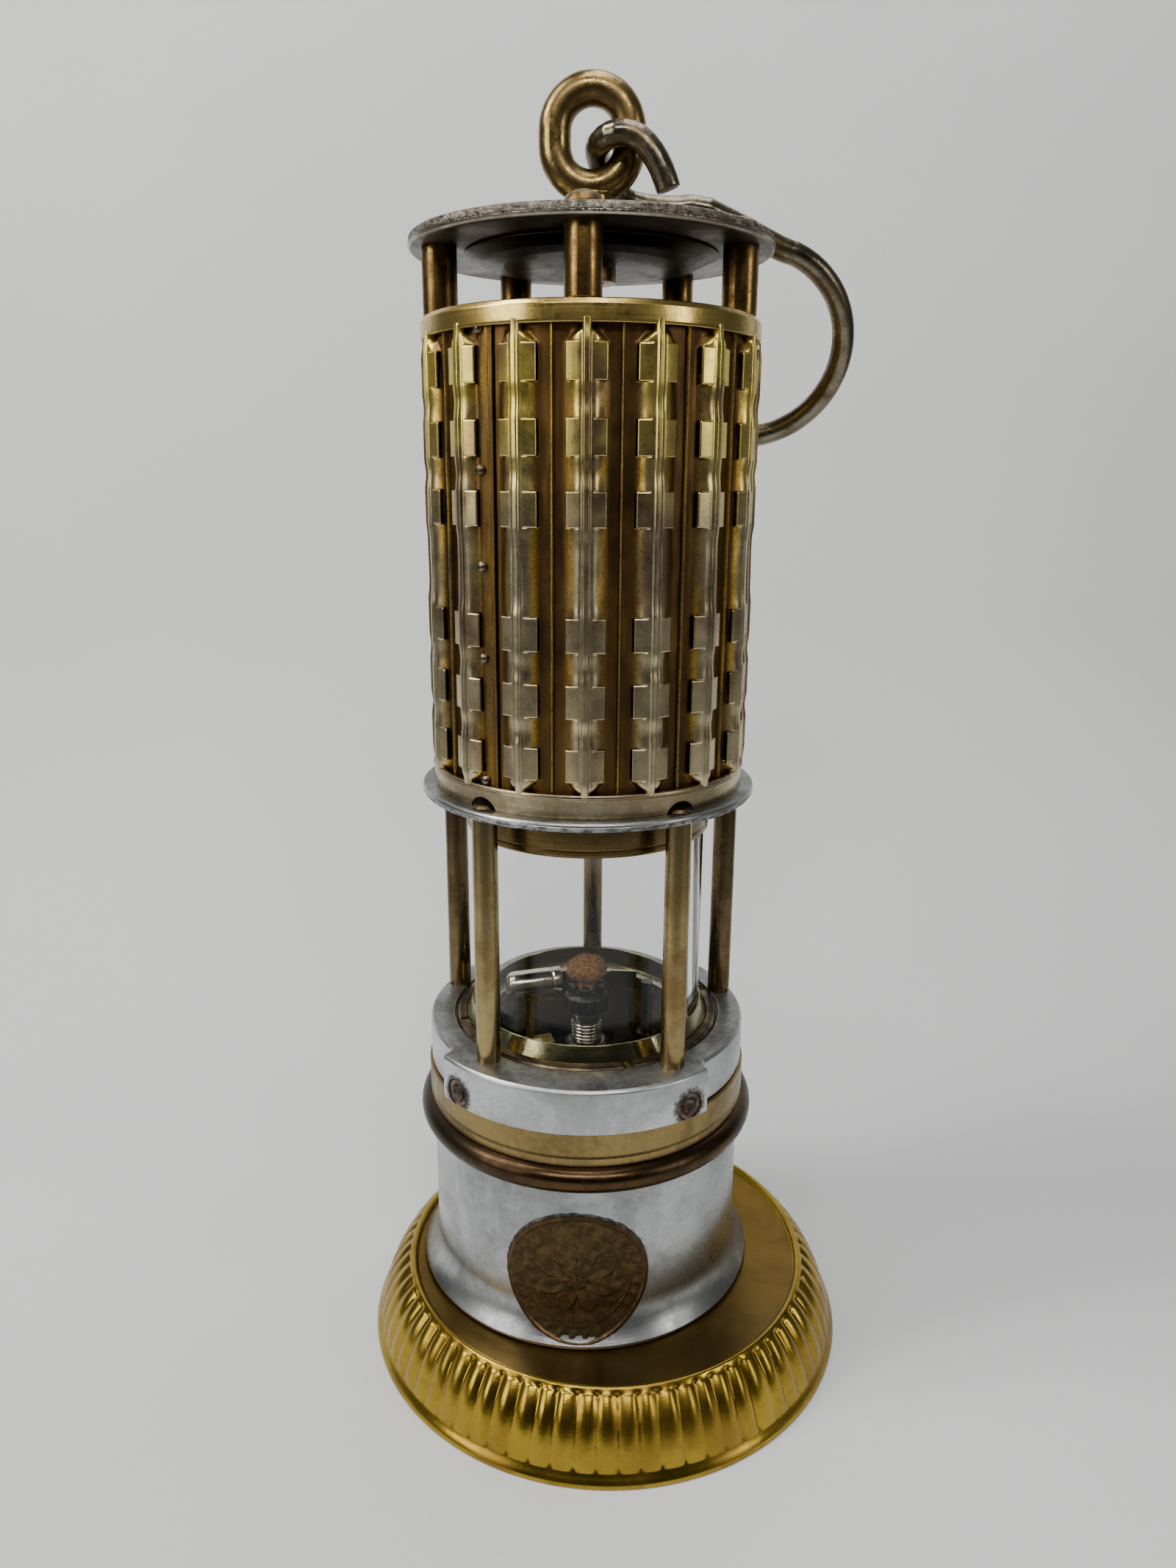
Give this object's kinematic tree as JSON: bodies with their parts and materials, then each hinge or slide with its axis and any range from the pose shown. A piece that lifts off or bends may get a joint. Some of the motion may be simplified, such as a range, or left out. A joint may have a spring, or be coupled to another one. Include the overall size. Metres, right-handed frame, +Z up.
{
  "type": "miner's flame safety lamp",
  "caption": "Miner's flame safety lamp: aluminium fount, glass chimney in a pillared frame, corrugated bonnet, swivel eye and wire hook, on a fluted brass stand.",
  "frame": {"origin": "middle of the stand's underside, at the height of the surface it rests on", "axes": "+Z up along the lamp, front of the lamp (lock pad and medallion) towards -Y, hook lying to +X"},
  "size_m": [0.1294, 0.1294, 0.3146],
  "materials": {
    "stand_brass": "pressed sheet brass, polished, golden",
    "fount_aluminium": "spun aluminium, satin with handling smudges",
    "bead_brass": "brass, dark brown patina rubbed bright on top",
    "collar_brass": "turned brass, satin, fine upright scratches",
    "steel_dark": "steel darkened by heat and lamp black",
    "medal_bronze": "struck brass, dark green-brown patina in the hollows",
    "brass_plain": "brass, dull",
    "fibre": "fibre and rubber seals",
    "nickel": "nickel plate, worn",
    "wick_cotton": "charred and oiled cotton, fuzzy",
    "flint_grey": "flint alloy",
    "ring_aluminium": "cast aluminium, satin, grimy on top",
    "pillar_brass": "nickel-worn brass rod, brown tarnish",
    "clear_glass": "clear glass, slightly smoky",
    "gasket": "pressed fibre ring",
    "ring_brass": "turned brass, polished",
    "gauze_mesh": "woven steel wire gauze, sooted",
    "bonnet_metal": "nickel plate worn through to brass, amber tarnish in the valleys",
    "band_brass": "rolled brass band, satin",
    "upper_brass": "brass rod, dark amber tarnish",
    "crown_nickel": "nickel-plated plate, rough bright edge",
    "soot_steel": "sheet steel blackened by heat",
    "eye_brass": "forged brass, brown patina with golden wear",
    "hook_nickel": "nickel-worn brass wire"
  },
  "bodies": {
    "stand": {"foot_stand": "stand_brass"},
    "fount": {"fount_shell": "fount_aluminium", "fount_base": "fount_aluminium", "fount_bead": "bead_brass", "fount_collar": "collar_brass", "fount_deck": "steel_dark", "medallion": "medal_bronze", "wick_tube": "brass_plain", "burner_base": "steel_dark", "burner_sleeve": "nickel", "burner_cap": "steel_dark", "relighter_tube": "brass_plain", "flint_barrel": "ring_brass", "flint": "flint_grey", "barrel_bracket": "brass_plain", "burner_bracket": "ring_brass", "deck_post": "steel_dark", "deck_nut": "nickel"},
    "filler_seal": {"filler_washer": "fibre"},
    "filler": {"filler_plug": "brass_plain"},
    "wick_adjuster": {"wick_screw": "nickel", "wick_knob": "brass_plain"},
    "wick_lift": {"wick": "wick_cotton", "wick_carrier": "brass_plain"},
    "relighter": {"relighter_shaft": "steel_dark", "relighter_knob": "nickel", "flint_wheel": "steel_dark"},
    "seal": {"seal_washer": "fibre"},
    "frame": {"lower_ring": "ring_aluminium", "pad_screws": "steel_dark", "lower_pillar_1": "pillar_brass", "lower_pillar_2": "pillar_brass", "lower_pillar_3": "pillar_brass", "lower_pillar_4": "pillar_brass", "lower_pillar_5": "pillar_brass", "glass": "clear_glass", "glass_seat_lower": "gasket", "glass_seat_upper": "gasket", "glass_ring_lower": "ring_brass", "glass_ring_upper": "pillar_brass", "glass_clamp_ring": "nickel", "gallery_plate": "ring_aluminium", "gauze_ring": "brass_plain", "inner_gauze": "gauze_mesh", "outer_gauze": "gauze_mesh", "bonnet": "bonnet_metal", "bonnet_rivets": "bonnet_metal", "bonnet_base_band": "nickel", "bonnet_top_band": "band_brass", "bonnet_lid": "upper_brass", "upper_pillars": "upper_brass", "crown_plate": "crown_nickel", "crown_rivets": "upper_brass", "heat_shield": "soot_steel"},
    "lock": {"lock_bolt": "steel_dark", "lock_spring": "nickel"},
    "swivel": {"eye": "eye_brass", "eye_nut": "upper_brass"},
    "hook": {"hook": "hook_nickel"}
  },
  "joints": [
    {"name": "lamp_lift", "type": "slide", "parent": "stand", "child": "fount", "axis": [0, 0, 1], "range_m": [0, 0.06]},
    {"name": "filler_drop", "type": "slide", "parent": "fount", "child": "filler_seal", "axis": [0, 0, -1], "range_m": [0, 0.003]},
    {"name": "filler_turn", "type": "hinge", "parent": "filler_seal", "child": "filler", "pos_m": [-0.022, -0.0098, 0.025], "axis": [0, 0, -1], "range_deg": [0, 720]},
    {"name": "wick_turn", "type": "hinge", "parent": "fount", "child": "wick_adjuster", "pos_m": [0.006, 0.0042, 0.03], "axis": [0, 0, -1], "range_deg": [0, 720]},
    {"name": "wick_rise", "type": "slide", "parent": "fount", "child": "wick_lift", "axis": [0, 0, 1], "range_m": [0, 0.008]},
    {"name": "relighter_turn", "type": "hinge", "parent": "fount", "child": "relighter", "pos_m": [-0.0092, 0.013, 0.06], "axis": [0, 0, 1], "continuous": true},
    {"name": "frame_rise", "type": "slide", "parent": "fount", "child": "seal", "axis": [0, 0, 1], "range_m": [0, 0.0075]},
    {"name": "frame_turn", "type": "hinge", "parent": "seal", "child": "frame", "pos_m": [-0.006, 0.0042, 0.08], "axis": [0, 0, 1], "range_deg": [0, 1080]},
    {"name": "lock_drop", "type": "slide", "parent": "frame", "child": "lock", "axis": [0, 0, -1], "range_m": [0, 0.0022], "deforming": ["lock_spring"]},
    {"name": "eye_swivel", "type": "hinge", "parent": "frame", "child": "swivel", "pos_m": [-0.006, 0.0042, 0.28], "axis": [0, 0, 1], "continuous": true},
    {"name": "hook_swing", "type": "hinge", "parent": "swivel", "child": "hook", "pos_m": [-0.0049, 0.0042, 0.2988], "axis": [0, -1, 0], "range_deg": [0, 110]}
  ],
  "couplings": [
    {"joint": "filler_drop", "follows": "filler_turn", "m_per_rad": 0.00023873},
    {"joint": "wick_rise", "follows": "wick_turn", "m_per_rad": 0.00063662},
    {"joint": "frame_rise", "follows": "frame_turn", "m_per_rad": 0.00039789}
  ]
}
